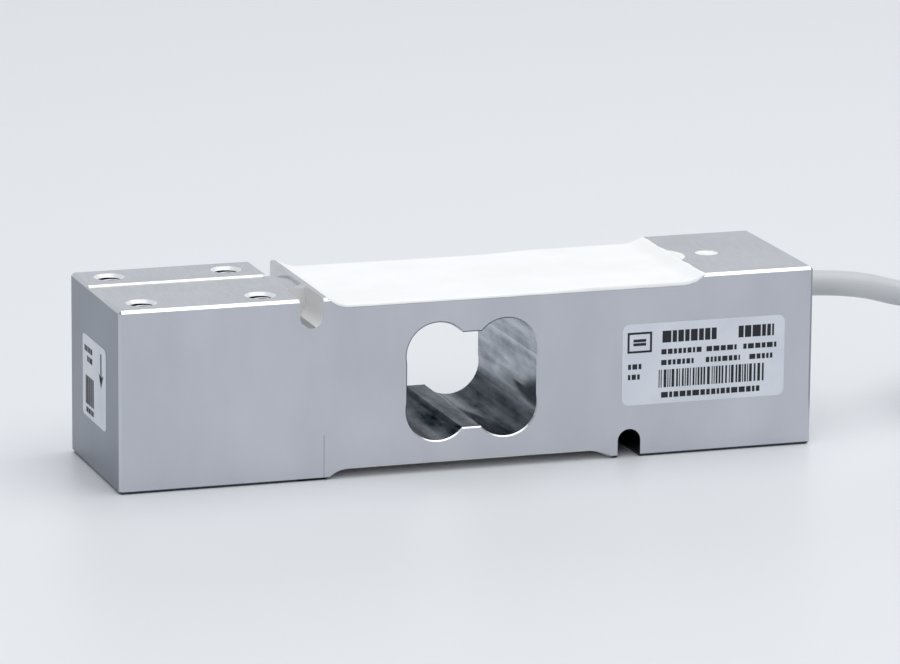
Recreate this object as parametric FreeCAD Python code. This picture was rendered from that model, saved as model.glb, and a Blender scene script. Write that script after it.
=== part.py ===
import FreeCAD, Part
import math
import os
from FreeCAD import Vector

# A single point load cell: an aluminium bending beam with a four-lobed window, strain gauges under
# a white silicone coating, threaded pads on opposite corners, and a cable with a free end.
# Millimetres. X runs along the bar to the cable end, Z is up, and the origin is the middle of the
# bar's underside. The bar's lower half is its upper half turned half way round about a Y axis.

# bar
bar_length = 150.0
bar_width = 38.1
bar_height = 38.1
edge_chamfer = 0.6

# window through the bar
lobe_radius = 6.85
lobe_spacing = 14.6
flexure_thickness = 4.35  # metal left between a lobe and the recess over it
window_length = 28.0  # between the flat sides that join an upper and a lower lobe
window_height = 20.1  # between the flats that join the lobes side by side
window_chamfer = 0.25

# recesses for the strain gauges, as wide as the bar
recess_depth = 2.25
recess_corner_radius = 7.0
recess_reach = 31.2  # from the middle of the bar to a recess's end
long_recess_reach = 51.1  # the same at the cable end of the upper recess

# slots that part a pad from the flexures, cut from both sides up to a land
fin_thickness = 0.8  # metal left between a slot and a recess
slot_width = 5.0
slot_depth = 6.1
land_width = 12.6

# pads with threaded holes, and the shallow channel between their two bearing strips
pad_inset = 19.0  # of the pad's middle from the bar's end
channel_width = 13.0
channel_depth = 0.5
channel_corner_radius = 3.0
channel_margin = 0.3  # from the channel's end to the fin
hole_spacing = 25.0
thread_bore = 5.0
thread_depth = 15.0
thread_mouth = 6.4
drill_point_angle = 118.0

# cable entry
cable_diameter = 5.4
cable_depth = 7.85  # of the cable's middle below the bar's top
cable_bore = 6.0
pocket_diameter = 13.0
pocket_centre = 46.5
pocket_floor_margin = 0.75  # from the pocket's floor to the cable bore
jacket_in_pocket = 1.5
clamp_centre = 58.3
clamp_bore = 5.0
clamp_screw_length = 4.0
clamp_socket_width = 3.0
clamp_socket_depth = 2.0
clamp_seal_inset = 0.2
clamp_to_seal = 1.9  # metal between the clamp screw's bore and the cable's seal
bore_seal_inset = 0.3

# fits and allowances
screw_clearance = 0.05
contact_gap = 0.02
overcut = 1.0  # how far a cutter runs past the face that it opens
tiny = 1e-6

# coatings
coat_thickness = 0.65
coat_board_thickness = 1.0
coat_lip = 0.45  # width of the coating where it meets a pad
coat_side_inset = 0.15
lower_coat_side_inset = 1.2
coat_rise_length = 16.0

# strain gauges and their wiring, all under the coatings
gauge_length = 8.0
gauge_width = 5.0
gauge_thickness = 0.1
board_length = 10.0
board_width = 16.0
board_thickness = 0.3
board_pocket_margin = 2.0  # from the board to the pocket
resistor_size = (1.6, 3.2, 0.4)
resistor_pitch = 4.4
strip_length = 4.0
strip_width = 11.0
strip_thickness = 0.2
strip_start = 15.5
lead_diameter = 0.25
gauge_tab_offset = 1.0  # of a gauge's two solder tabs from its middle
upper_lead_spreads = (3.4, 6.4)  # of the near and the far gauge's leads, at the board
lower_lead_spreads = (1.8, 4.4)  # the same, at the strip
lead_overlap = 0.8  # how far a lead lies on a gauge, strip or board
wire_hole = 3.0
wire_hole_centre = 22.0
link_count = 4
link_pitch = 0.6
conductor_count = 4
conductor_diameter = 1.0
conductor_ring_radius = 1.2
conductor_pitch = 2.4
conductor_fan_length = 3.6  # from the jacket's end to where the conductors run side by side
conductor_end_inset = 3.4  # from the pocket's edge
conductor_end_depth = 1.2  # below the recess floor
strand_diameter = 0.4
wire_sides = 6
conductor_sides = 8

# labels
label_thickness = 0.12
rating_label_size = (36.0, 17.2)
rating_label_centre = (50.7, 19.7)
rating_label_corner = 1.5
direction_label_size = (18.1, 17.1)
direction_label_centre = (0.15, 19.15)
direction_label_corner = 1.2

# cable outside the bar: a lead to a tied hank that lies in line with the bar
layer_count = 4
tie_thickness = 0.95
tie_gap = 0.05
tie_width = 4.8
tie_head = (7.0, 5.2, 4.4)
tie_head_root = 0.2  # how deep the head stands in the band
hank_distance = 35.0  # from the bar's end
hank_run = 116.0
fold_radius = 16.2  # of the inner turns' centreline
hank_chamfer = 1.4
hank_inset = 0.1  # of the part turn from the ring's inner wall
top_turn_start = 33.7  # from the near folds' axis
top_turn_end = 30.7

# free end of the cable
sleeve_length = 9.0
sleeve_thickness = 0.5
free_length = 24.0
free_bends = (0.36, 0.72)  # where a conductor bends, as shares of its length
free_spread = 3.6  # between neighbouring conductors at the second bend
free_end_fan = 1.15  # how much wider they are spread at their ends
ferrule_diameter = 1.3
ferrule_length = 6.0
shield_diameter = 0.9
shield_share = 0.8  # of the conductors' length

arc_reach = 0.45  # of the shorter run beside a bend, which the bend's arc takes up

half_length = bar_length / 2
half_width = bar_width / 2
upper_floor = bar_height - recess_depth
cable_height = bar_height - cable_depth
pad_centre = half_length - pad_inset
slot_inner_x = recess_reach + fin_thickness
pocket_edge = pocket_centre - pocket_diameter / 2
jacket_end = pocket_centre + pocket_diameter / 2 - jacket_in_pocket
board_end = pocket_edge - board_pocket_margin
board_start = board_end - board_length
outer_fold_radius = fold_radius + cable_diameter
hank_base = tie_thickness + tie_gap
hank_top = hank_base + layer_count * cable_diameter
ring_inner = fold_radius - cable_diameter / 2
ring_outer = outer_fold_radius + cable_diameter / 2
near_fold_x = half_length + hank_distance + ring_outer
far_fold_x = near_fold_x + hank_run
lap_height = hank_top + cable_diameter / 2  # of the cable's middle on top of the hank
low_height = hank_base + cable_diameter / 2  # the same in the lowest turns
end_height = cable_diameter / 2 + sleeve_thickness + tie_gap
along_x = Vector(1, 0, 0)
along_y = Vector(0, 1, 0)
along_z = Vector(0, 0, 1)

# the cable's middle line outside the bar, before its corners are rounded
cable_route = [
    (half_length, 0.0, cable_height),
    (half_length + 15.5, 0.0, cable_height),
    (near_fold_x - 28.1, 0.0, lap_height - 0.1),
    (near_fold_x - 10.3, 3.2, lap_height),
    (near_fold_x + 11.7, 11.6, lap_height),
    (near_fold_x + top_turn_start, fold_radius, lap_height),
]
tail_route = [
    (near_fold_x + 17.7, fold_radius, low_height),
    (near_fold_x + 39.7, 11.8, low_height - 0.3),
    (near_fold_x + 62.2, 4.6, end_height),
    (near_fold_x + 81.7, 2.6, end_height),
]


def block(x_span, y_span, z_span):
    corner = Vector(x_span[0], y_span[0], z_span[0])
    size = (x_span[1] - x_span[0], y_span[1] - y_span[0], z_span[1] - z_span[0])
    return Part.makeBox(*size, corner)


def rod(start, direction, diameter, length):
    return Part.makeCylinder(diameter / 2, length, Vector(*start), direction)


def turned_over(shape):
    """The same shape on the opposite corner of the bar."""
    copy = shape.copy()
    copy.rotate(Vector(0, 0, bar_height / 2), along_y, 180)
    return copy


def prism(points_or_edges, direction):
    """A solid from a closed outline, given as points or as edges, pushed along a vector."""
    if isinstance(points_or_edges[0], Vector):
        outline = Part.makePolygon(points_or_edges + points_or_edges[:1])
    else:
        outline = Part.Wire(points_or_edges)
    return Part.Face(outline).extrude(direction)


def line(start, end):
    return Part.LineSegment(start, end).toShape()


def concave_end(flat_x, flat_z, end_x, end_z):
    """An arc in an XZ plane that leaves a level floor tangentially and climbs to a point."""
    run = end_x - flat_x
    rise = end_z - flat_z
    radius = (run * run + rise * rise) / (2 * rise)
    half_turn = math.atan2(abs(run), radius - rise) / 2
    middle_x = flat_x + math.copysign(radius * math.sin(half_turn), run)
    middle_z = flat_z + radius * (1 - math.cos(half_turn))
    flat = Vector(flat_x, 0, flat_z)
    middle = Vector(middle_x, 0, middle_z)
    return Part.Arc(flat, middle, Vector(end_x, 0, end_z)).toShape()


def recess_end_run():
    """How far along the bar a recess's curved end reaches."""
    return math.sqrt(2 * recess_corner_radius * recess_depth - recess_depth**2)


def recess_cutter(start_x, end_x):
    """The space of an upper recess, up to just above the bar."""
    above = bar_height + overcut
    run = recess_end_run()
    left = concave_end(start_x + run, upper_floor, start_x, bar_height)
    right = concave_end(end_x - run, upper_floor, end_x, bar_height)
    edges = [
        line(Vector(start_x, 0, above), Vector(start_x, 0, bar_height)),
        left,
        line(Vector(start_x + run, 0, upper_floor), Vector(end_x - run, 0, upper_floor)),
        right,
        line(Vector(end_x, 0, bar_height), Vector(end_x, 0, above)),
        line(Vector(end_x, 0, above), Vector(start_x, 0, above)),
    ]
    cutter = prism(edges, along_y * (bar_width + 2 * overcut))
    cutter.translate(Vector(0, -half_width - overcut, 0))
    return cutter


def upper_recess():
    return recess_cutter(-recess_reach, long_recess_reach)


def lower_recess():
    return turned_over(recess_cutter(-recess_reach, recess_reach))


def window_cutter():
    """Four lobes and the two crossing blocks between them, with chamfered rims on both faces."""
    middle = bar_height / 2
    lobe_rise = upper_floor - flexure_thickness - lobe_radius - middle
    y_reach = half_width + overcut
    cutters = []
    for x in (-lobe_spacing / 2, lobe_spacing / 2):
        for z in (middle - lobe_rise, middle + lobe_rise):
            cutters.append(rod((x, -y_reach, z), along_y, 2 * lobe_radius, 2 * y_reach))
            cutters += [rim_cone(x, z, side) for side in (-1, 1)]
    for half, half_high in ((window_length / 2, lobe_rise), (lobe_spacing / 2, window_height / 2)):
        z_span = (middle - half_high, middle + half_high)
        cutters.append(block((-half, half), (-y_reach, y_reach), z_span))
        cutters += [rim_frustum(half, half_high, middle, side) for side in (-1, 1)]
    return cutters


def rim_cone(x, z, side):
    depth = window_chamfer
    base = Vector(x, side * (half_width - depth), z)
    return Part.makeCone(lobe_radius, lobe_radius + depth, depth, base, along_y * side)


def rim_frustum(half, half_high, middle, side):
    loops = []
    for grow in (0, window_chamfer):
        y = side * (half_width - window_chamfer + grow)
        x_reach = half + grow
        z_reach = half_high + grow
        corners = [(-x_reach, -z_reach), (x_reach, -z_reach), (x_reach, z_reach), (-x_reach, z_reach)]
        points = [Vector(x, y, middle + z) for x, z in corners]
        loops.append(Part.makePolygon(points + points[:1]))
    return Part.makeLoft(loops, True, True)


def half_slots():
    """The upper slot, milled from both sides with a round-nosed floor."""
    centre = -slot_inner_x - slot_width / 2
    floor = bar_height - slot_depth
    depth = half_width - land_width / 2
    cutters = []
    for side in (-1, 1):
        inner = side * land_width / 2
        axis = along_y * side
        z = floor + slot_width / 2
        cutters.append(rod((centre, inner, z), axis, slot_width, depth + overcut))
        y_span = sorted((inner, side * (half_width + overcut)))
        x_span = (centre - slot_width / 2, centre + slot_width / 2)
        cutters.append(block(x_span, y_span, (z, bar_height + overcut)))
    return cutters


def relief_channel():
    """The shallow channel along the load pad, rounded in plan at its closed end."""
    end = -slot_inner_x - channel_margin
    z_span = (bar_height - channel_depth, bar_height + overcut)
    half = channel_width / 2
    cutter = block((-half_length - overcut, end), (-half, half), z_span)
    upright = [e for e in cutter.Edges if abs(e.CenterOfMass.x - end) < tiny and stands(e)]
    return cutter.makeFillet(channel_corner_radius, upright)


def stands(edge):
    return abs(edge.Vertexes[0].Z - edge.Vertexes[-1].Z) > tiny


def threaded_hole(x, y):
    """A blind tapping hole from the load pad, with its drill point and countersunk mouth."""
    radius = thread_bore / 2
    point = radius / math.tan(math.radians(drill_point_angle / 2))
    mouth = (thread_mouth - thread_bore) / 2
    floor = bar_height - thread_depth
    hole = Part.makeCylinder(radius, thread_depth + overcut, Vector(x, y, floor))
    tip = Part.makeCone(0, radius, point, Vector(x, y, floor - point))
    sink = Part.makeCone(radius, radius + mouth, mouth, Vector(x, y, bar_height - mouth))
    return hole.fuse([tip, sink])


def pad_holes():
    half = hole_spacing / 2
    return [threaded_hole(x - pad_centre, y) for x in (-half, half) for y in (-half, half)]


def pocket_space():
    floor = cable_height - cable_bore / 2 - pocket_floor_margin
    start = (pocket_centre, 0, floor)
    return rod(start, along_z, pocket_diameter, bar_height + overcut - floor)


def cable_cutters():
    bore = rod((pocket_centre, 0, cable_height), along_x, cable_bore, half_length)
    clamp_start = (clamp_centre, 0, cable_height)
    clamp = rod(clamp_start, along_z, clamp_bore, bar_height - cable_height + overcut)
    link = rod((wire_hole_centre, 0, 0), along_z, wire_hole, bar_height)
    return [pocket_space(), bore, clamp, link]


def chamfered_bar():
    bar = block((-half_length, half_length), (-half_width, half_width), (0, bar_height))
    return bar.makeChamfer(edge_chamfer, bar.Edges)


def recessed_bar():
    return chamfered_bar().cut([upper_recess(), lower_recess()])


def measuring_body():
    mirrored = half_slots() + [relief_channel()] + pad_holes()
    cutters = window_cutter() + cable_cutters() + mirrored
    cutters += [turned_over(shape) for shape in mirrored]
    return recessed_bar().cut(cutters)


# strain gauges and wiring


def gauge(x):
    half = gauge_length / 2
    z_span = (upper_floor, upper_floor + gauge_thickness)
    return block((x - half, x + half), (-gauge_width / 2, gauge_width / 2), z_span)


def terminal_board():
    z_span = (upper_floor, upper_floor + board_thickness)
    return block((board_start, board_end), (-board_width / 2, board_width / 2), z_span)


def trim_resistors():
    """Small resistors across the middle of the board, which trim the bridge."""
    long, wide, high = resistor_size
    middle = (board_start + board_end) / 2
    base = upper_floor + board_thickness
    found = []
    for place in (-1, 0, 1):
        y = place * resistor_pitch
        x_span = (middle - long / 2, middle + long / 2)
        found.append(block(x_span, (y - wide / 2, y + wide / 2), (base, base + high)))
    return found


def terminal_strip():
    """The strip in the lower recess, made in the upper one and turned over with it."""
    z_span = (upper_floor, upper_floor + strip_thickness)
    x_span = (-strip_start - strip_length, -strip_start)
    return turned_over(block(x_span, (-strip_width / 2, strip_width / 2), z_span))


def lead_height(carrier_thickness, diameter):
    """The height of a wire's middle over a recess floor where it lies on a carrier."""
    return carrier_thickness + diameter / 2 + contact_gap


def gauge_leads(goal_x, goal_thickness, goal_spread):
    """Two leads from each gauge to the board or strip, as seen from above the recess."""
    low = upper_floor + lead_height(gauge_thickness, lead_diameter)
    high = upper_floor + lead_height(goal_thickness, lead_diameter)
    found = []
    for number, gauge_x in enumerate((lobe_spacing / 2, -lobe_spacing / 2)):
        start_x = gauge_x + gauge_length / 2 - lead_overlap
        for side in (-1, 1):
            start = (start_x, side * gauge_tab_offset, low)
            goal = (goal_x + lead_overlap, side * goal_spread[number], high)
            found.append(wire([start, goal], lead_diameter, wire_sides))
    return found


def upper_leads():
    return gauge_leads(board_start, board_thickness, upper_lead_spreads)


def lower_leads():
    """Leads in the lower recess: turned over, then set right way round along the bar."""
    found = []
    for lead in gauge_leads(strip_start, strip_thickness, lower_lead_spreads):
        found.append(lead.mirror(Vector(0, 0, bar_height / 2), along_z))
    return found


def link_wires():
    """Wires from the lower strip through the wire hole to the upper board."""
    low = recess_depth - lead_height(strip_thickness, lead_diameter)
    high = upper_floor + lead_height(board_thickness, lead_diameter)
    found = []
    bend = wire_hole / 3
    for y in spread_offsets(link_count, link_pitch):
        route = [
            (strip_start + strip_length - lead_overlap, y, low),
            (wire_hole_centre - bend, y, low),
            (wire_hole_centre, y, low + bend),
            (wire_hole_centre, y, high - bend),
            (wire_hole_centre + bend, y, high),
            (board_start + lead_overlap, y, high),
        ]
        found.append(wire(route, lead_diameter, wire_sides))
    return found


# routes


def rounded_route(points):
    """Straight runs, as (start, end), and the tangent arcs between them, as large as they fit.

    An arc is (start, heading, centre, axis, turn, radius) with its turn in radians.
    """
    corners = [Vector(*point) for point in points]
    runs = []
    arcs = []
    start = corners[0]
    for before, corner, after in zip(corners, corners[1:], corners[2:]):
        into = corner - before
        out = after - corner
        reach = arc_reach * min(into.Length, out.Length)
        turn = into.getAngle(out)
        radius = reach / math.tan(turn / 2)
        into.normalize()
        out.normalize()
        inward = (out - into).normalize()
        arc_start = corner - into * reach
        centre = corner + inward * (radius / math.cos(turn / 2))
        runs.append((start, arc_start))
        arcs.append((arc_start, into, centre, into.cross(out), turn, radius))
        start = corner + out * reach
    runs.append((start, corners[-1]))
    return runs, arcs


def tube(points, diameter):
    runs, arcs = rounded_route(points)
    pieces = [rod(start, end - start, diameter, (end - start).Length) for start, end in runs]
    for start, heading, centre, axis, turn, _ in arcs:
        section = Part.Face(Part.Wire(Part.makeCircle(diameter / 2, start, heading)))
        pieces.append(section.revolve(centre, axis, math.degrees(turn)))
    return pieces[0].fuse(pieces[1:]).removeSplitter()


def wire(points, diameter, sides):
    """A thin wire with flat sides and mitred bends."""
    corners = [Vector(*point) for point in points]
    headings = [(b - a).normalize() for a, b in zip(corners, corners[1:])]
    ring = wire_end(corners[0], headings[0], diameter, sides)
    faces = [polygon_face(ring)]
    for number, heading in enumerate(headings):
        following = headings[min(number + 1, len(headings) - 1)]
        cut = heading + following
        goal = [slide_to_plane(point, heading, corners[number + 1], cut) for point in ring]
        for k in range(sides):
            m = (k + 1) % sides
            faces.append(polygon_face([ring[k], ring[m], goal[m], goal[k]]))
        ring = goal
    faces.append(polygon_face(ring))
    solid = Part.makeSolid(Part.makeShell(faces))
    return solid if solid.Volume > 0 else solid.reversed()


def wire_end(centre, heading, diameter, sides):
    across = heading.cross(along_z)
    across = across.normalize() if across.Length > tiny else along_y
    up = across.cross(heading)
    ring = []
    for number in range(sides):
        turn = 2 * math.pi * (number + 0.5) / sides
        ring.append(centre + (across * math.cos(turn) + up * math.sin(turn)) * (diameter / 2))
    return ring


def slide_to_plane(point, heading, place, normal):
    return point + heading * ((place - point).dot(normal) / heading.dot(normal))


def polygon_face(points):
    return Part.Face(Part.makePolygon(points + points[:1]))


def report_route(name, points, diameter, solid):
    runs, arcs = rounded_route(points)
    length = sum((end - start).Length for start, end in runs)
    length += sum(turn * radius for *_, turn, radius in arcs)
    expected = math.pi * diameter**2 / 4 * length
    radii = [round(arc[-1], 1) for arc in arcs]
    print(name, "length", round(length, 1), "radii", radii)
    print(name, "volume over section times length", round(solid.Volume / expected, 5))


# coatings and compounds


def coat_solid(end_x, rise_end, thick_end, side_inset):
    """A coating on an upper recess floor that curves up to both pads."""
    run = recess_end_run()
    left_flat = -recess_reach + run
    right_flat = end_x - run
    low = upper_floor + coat_thickness
    high = upper_floor + thick_end
    under_left = concave_end(left_flat, upper_floor, -recess_reach, bar_height)
    under_right = concave_end(right_flat, upper_floor, end_x, bar_height)
    over_left = concave_end(left_flat, low, -recess_reach + coat_lip, bar_height)
    over_right = concave_end(right_flat, high, end_x - coat_lip, bar_height)
    top = [Vector(left_flat, 0, low)]
    if rise_end is not None:
        top += [Vector(rise_end - coat_rise_length, 0, low), Vector(rise_end, 0, high)]
    top.append(Vector(right_flat, 0, high))
    edges = [
        under_left,
        line(Vector(left_flat, 0, upper_floor), Vector(right_flat, 0, upper_floor)),
        under_right,
        line(Vector(end_x, 0, bar_height), Vector(end_x - coat_lip, 0, bar_height)),
        over_right,
    ]
    edges += [line(a, b) for a, b in zip(top, top[1:])]
    edges += [
        over_left,
        line(Vector(-recess_reach + coat_lip, 0, bar_height), Vector(-recess_reach, 0, bar_height)),
    ]
    wide = bar_width - 2 * side_inset
    coat = Part.Face(Part.Wire(Part.__sortEdges__(edges))).extrude(along_y * wide)
    coat.translate(Vector(0, -wide / 2, 0))
    return coat


def upper_coating(embedded):
    coat = coat_solid(long_recess_reach, board_start, coat_board_thickness, coat_side_inset)
    return coat.cut(embedded)


def lower_coating(embedded):
    coat = turned_over(coat_solid(recess_reach, None, coat_thickness, lower_coat_side_inset))
    return coat.cut(embedded)


def pocket_potting(embedded):
    potting = recessed_bar().common(pocket_space())
    return potting.cut(embedded)


# cable entry


def clamped_cable_end():
    return rod((jacket_end, 0, cable_height), along_x, cable_diameter, half_length - jacket_end)


def bore_seal():
    start = (clamp_centre + clamp_bore / 2 + clamp_to_seal, 0, cable_height)
    length = half_length - bore_seal_inset - start[0]
    ring = rod(start, along_x, cable_bore, length)
    return ring.cut(rod(start, along_x, cable_diameter, length))


def clamp_screw():
    """A set screw with a hexagon socket, its point on the cable."""
    base = cable_height + cable_diameter / 2 + contact_gap
    body = rod((clamp_centre, 0, base), along_z, clamp_bore - 2 * screw_clearance, clamp_screw_length)
    corner_radius = clamp_socket_width / math.sqrt(3)
    floor = base + clamp_screw_length - clamp_socket_depth
    corners = []
    for number in range(6):
        turn = math.radians(60 * number)
        x = clamp_centre + corner_radius * math.cos(turn)
        corners.append(Vector(x, corner_radius * math.sin(turn), floor))
    return body.cut(prism(corners, along_z * (clamp_socket_depth + overcut)))


def clamp_screw_seal():
    base = cable_height + cable_diameter / 2 + 2 * contact_gap + clamp_screw_length
    return rod((clamp_centre, 0, base), along_z, clamp_bore, bar_height - clamp_seal_inset - base)


def conductor_places():
    """Where the conductors sit around a cable's middle, in order across the free end."""
    places = []
    for number in range(conductor_count):
        turn = 2 * math.pi * (number + 0.5) / conductor_count
        places.append((conductor_ring_radius * math.cos(turn), conductor_ring_radius * math.sin(turn)))
    return sorted(places)


def spread_offsets(count, pitch):
    """Evenly spaced offsets about zero."""
    return [(number - (count - 1) / 2) * pitch for number in range(count)]


def pocket_routes():
    """The conductors' routes from the jacket's end up through the pocket."""
    goals = spread_offsets(conductor_count, conductor_pitch)
    routes = []
    for (y, z), goal in zip(conductor_places(), goals):
        start = Vector(jacket_end, y, cable_height + z)
        bend = Vector(jacket_end - conductor_fan_length, goal, cable_height + z)
        end = Vector(pocket_edge + conductor_end_inset, goal, upper_floor - conductor_end_depth)
        routes.append([start, bend, end])
    return routes


def pocket_conductors(jacket):
    """Insulated conductors from the jacket's end up through the pocket."""
    found = []
    for route in pocket_routes():
        found.append(wire(route, conductor_diameter, conductor_sides).cut(jacket))
    return found


def conductor_strands(conductors):
    """Bare strands from the conductors over the pocket's rim onto the board."""
    height = upper_floor + lead_height(board_thickness, strand_diameter)
    found = []
    for _, bend, end in pocket_routes():
        heading = (end - bend).normalize()
        crest = end + heading * ((height - end.z) / heading.z)
        goal = Vector(board_end - lead_overlap, end.y, height)
        found.append(wire([end, crest, goal], strand_diameter, wire_sides).cut(conductors))
    return found


# labels


def rounded_plate(size, corner, thickness):
    """A label lying flat, centred on the origin."""
    long, wide = size
    plate = block((-long / 2, long / 2), (-wide / 2, wide / 2), (0, thickness))
    return plate.makeFillet(corner, [edge for edge in plate.Edges if stands(edge)])


def rating_label():
    plate = rounded_plate(rating_label_size, rating_label_corner, label_thickness)
    plate.rotate(Vector(0, 0, 0), along_x, 90)
    x, z = rating_label_centre
    plate.translate(Vector(x, -half_width, z))
    return plate


def load_direction_label():
    plate = rounded_plate(direction_label_size, direction_label_corner, label_thickness)
    plate.rotate(Vector(0, 0, 0), along_x, 90)
    plate.rotate(Vector(0, 0, 0), along_z, -90)
    y, z = direction_label_centre
    plate.translate(Vector(-half_length, y, z))
    return plate


# cable outside the bar


def stadium(radius, base, height):
    """An upright block with round ends that the hank's folds follow."""
    left = Part.makeCylinder(radius, height, Vector(near_fold_x, 0, base))
    right = Part.makeCylinder(radius, height, Vector(far_fold_x, 0, base))
    middle = block((near_fold_x, far_fold_x), (-radius, radius), (base, base + height))
    return left.fuse([right, middle]).removeSplitter()


def level_edges(shape, heights):
    found = []
    for edge in shape.Edges:
        box = edge.BoundBox
        if box.ZLength < tiny and min(abs(box.ZMin - height) for height in heights) < tiny:
            found.append(edge)
    return found


def hank_ring():
    height = hank_top - hank_base
    ring = stadium(ring_outer, hank_base, height).cut(stadium(ring_inner, hank_base, height))
    return ring.makeChamfer(hank_chamfer, level_edges(ring, (hank_base, hank_top)))


def top_turn_section():
    """The part turn's section: the cable's top, chamfered, over sides that go down into the ring."""
    half = cable_diameter / 2 - hank_inset
    top = hank_top + cable_diameter
    foot = hank_top - 2 * hank_chamfer
    outline = [
        (-half, foot),
        (half, foot),
        (half, top - hank_chamfer),
        (half - hank_chamfer, top),
        (hank_chamfer - half, top),
        (-half, top - hank_chamfer),
    ]
    start_x = near_fold_x + top_turn_start
    return polygon_face([Vector(start_x, fold_radius + y, z) for y, z in outline])


def top_turn():
    """The part turn on top of the ring: one side, the far fold and most of the other side."""
    section = top_turn_section()
    side = section.extrude(along_x * (hank_run - top_turn_start))
    section.translate(along_x * (hank_run - top_turn_start))
    fold = section.revolve(Vector(far_fold_x, 0, 0), along_z, -180)
    section.rotate(Vector(far_fold_x, 0, 0), along_z, 180)
    back = section.extrude(along_x * (top_turn_end - hank_run))
    return side.fuse([fold, back])


def cable_hank():
    return hank_ring().fuse(top_turn()).removeSplitter()


def tie_outline(x):
    """The outline of one side of the hank, which a tie is drawn round."""
    lap_top = hank_top + cable_diameter
    lap_outer = fold_radius + cable_diameter / 2
    corners = [
        (ring_inner, hank_base),
        (ring_outer, hank_base),
        (ring_outer, hank_top),
        (lap_outer, lap_top),
        (ring_inner, lap_top),
    ]
    points = [Vector(x, y, z) for y, z in corners]
    return Part.Face(Part.makePolygon(points + points[:1]))


def hank_tie(side):
    """A cable tie round one side of the hank, with its head on top."""
    x = (near_fold_x + far_fold_x - tie_width) / 2
    inside = tie_outline(x).makeOffset2D(tie_gap)
    outside = tie_outline(x).makeOffset2D(tie_gap + tie_thickness)
    band = outside.extrude(along_x * tie_width).cut(inside.extrude(along_x * tie_width))
    head_x, head_y, head_z = tie_head
    seat = hank_top + cable_diameter + tie_gap + tie_thickness - tie_head_root
    middle = x + tie_width / 2
    x_span = (middle - head_x / 2, middle + head_x / 2)
    y_span = (fold_radius - head_y / 2, fold_radius + head_y / 2)
    tie = band.fuse(block(x_span, y_span, (seat, seat + head_z)))
    if side < 0:
        tie = tie.mirror(Vector(0, 0, 0), along_y)
    return tie


def end_frame():
    """The place and heading of the jacket's free end."""
    end = Vector(*tail_route[-1])
    heading = (end - Vector(*tail_route[-2])).normalize()
    return end, heading


def end_sleeve():
    end, heading = end_frame()
    start = end - heading * sleeve_length
    sleeve = rod(start, heading, cable_diameter + 2 * sleeve_thickness, sleeve_length)
    return sleeve.cut(rod(start, heading, cable_diameter, sleeve_length))


def end_point(forward, across, height):
    """A point past the jacket's end, measured along, across and above the surface."""
    end, heading = end_frame()
    flat = Vector(heading.x, heading.y, 0).normalize()
    sideways = Vector(-flat.y, flat.x, 0)
    place = end + flat * forward + sideways * across
    return (place.x, place.y, height)


def free_route(y, z, goal, rest_height, length):
    """From the jacket's end face down to the surface that the hank lies on."""
    start_height = end_frame()[0].z + z
    first, second = free_bends
    return [
        end_point(0, y, start_height),
        end_point(length * first, (y + goal) / 2, (start_height + rest_height) / 2),
        end_point(length * second, goal, rest_height),
        end_point(length, goal * free_end_fan, rest_height),
    ]


def free_routes():
    routes = []
    for (y, z), goal in zip(conductor_places(), spread_offsets(conductor_count, free_spread)):
        routes.append(free_route(y, z, goal, ferrule_diameter / 2, free_length))
    return routes


def free_conductors(jacket):
    routes = free_routes()
    return [wire(route, conductor_diameter, conductor_sides).cut(jacket) for route in routes]


def ferrules():
    found = []
    for route in free_routes():
        end = Vector(*route[-1])
        heading = (end - Vector(*route[-2])).normalize()
        found.append(wire([end, end + heading * ferrule_length], ferrule_diameter, conductor_sides))
    return found


def shield_pigtail(jacket):
    """The twisted shield, which leaves the middle of the cable between the conductors."""
    route = free_route(0, 0, 0, shield_diameter / 2, free_length * shield_share)
    return wire(route, shield_diameter, conductor_sides).cut(jacket)


def save(name, solids):
    shape = solids[0] if len(solids) == 1 else Part.makeCompound(solids)
    shape.exportStep(f"parts/{name}.step")
    volume = sum(solid.Volume for solid in solids)
    print(f"{name}: {len(shape.Solids)} solid(s), {volume:.2f} mm3, valid {shape.isValid()}")


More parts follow.
